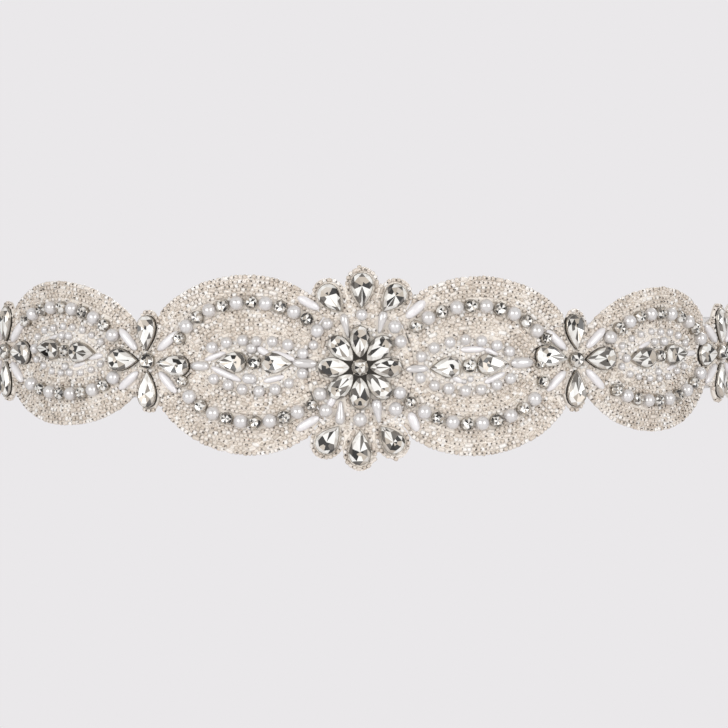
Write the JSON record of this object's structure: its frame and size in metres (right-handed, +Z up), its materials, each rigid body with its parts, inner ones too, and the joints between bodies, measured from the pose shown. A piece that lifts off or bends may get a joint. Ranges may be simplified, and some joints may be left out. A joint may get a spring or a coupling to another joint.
{
  "type": "bridal sash",
  "caption": "Beaded bridal sash closed round the waist: pearl and crystal ovals, flowers and a centre medallion on a satin ribbon that laps and hooks at the back.",
  "frame": {"origin": "middle of the waist that the sash is worn on, level with the middle of the centre medallion's rosette", "axes": "+X to the right as the front is looked at, +Y from the front to the back, +Z up; the medallion faces -Y"},
  "size_m": [0.289, 0.2144, 0.071],
  "materials": {
    "satin": "white polyester satin with a soft sheen",
    "beadwork": "white backing closely sewn with clear champagne seed beads, pearls and small crystals",
    "crystal": "faceted clear crystal with a silver foil back in a silver cup",
    "nickel": "plain flat hook and bar"
  },
  "bodies": {
    "root": {"closure_bar": "nickel", "closure_hook": "nickel", "end_left_oval": "beadwork", "end_right_oval": "beadwork", "fan_lower_1": "crystal", "fan_lower_2": "crystal", "fan_lower_3": "crystal", "fan_upper_1": "crystal", "fan_upper_2": "crystal", "fan_upper_3": "crystal", "flower_inner_left": "beadwork", "flower_inner_left_centre": "crystal", "flower_inner_left_petal_1": "crystal", "flower_inner_left_petal_2": "crystal", "flower_inner_left_petal_3": "crystal", "flower_inner_left_petal_4": "crystal", "flower_inner_right": "beadwork", "flower_inner_right_centre": "crystal", "flower_inner_right_petal_1": "crystal", "flower_inner_right_petal_2": "crystal", "flower_inner_right_petal_3": "crystal", "flower_inner_right_petal_4": "crystal", "flower_outer_left": "beadwork", "flower_outer_left_centre": "crystal", "flower_outer_left_petal_1": "crystal", "flower_outer_left_petal_2": "crystal", "flower_outer_left_petal_3": "crystal", "flower_outer_left_petal_4": "crystal", "flower_outer_right": "beadwork", "flower_outer_right_centre": "crystal", "flower_outer_right_petal_1": "crystal", "flower_outer_right_petal_2": "crystal", "flower_outer_right_petal_3": "crystal", "flower_outer_right_petal_4": "crystal", "large_left_oval": "beadwork", "large_right_oval": "beadwork", "medallion": "beadwork", "ribbon_front": "satin", "ribbon_left": "satin", "ribbon_right": "satin", "rosette_centre": "crystal", "rosette_petal_1": "crystal", "rosette_petal_2": "crystal", "rosette_petal_3": "crystal", "rosette_petal_4": "crystal", "rosette_petal_5": "crystal", "rosette_petal_6": "crystal", "rosette_petal_7": "crystal", "rosette_petal_8": "crystal", "small_left_oval": "beadwork", "small_right_oval": "beadwork"}
  },
  "joints": []
}
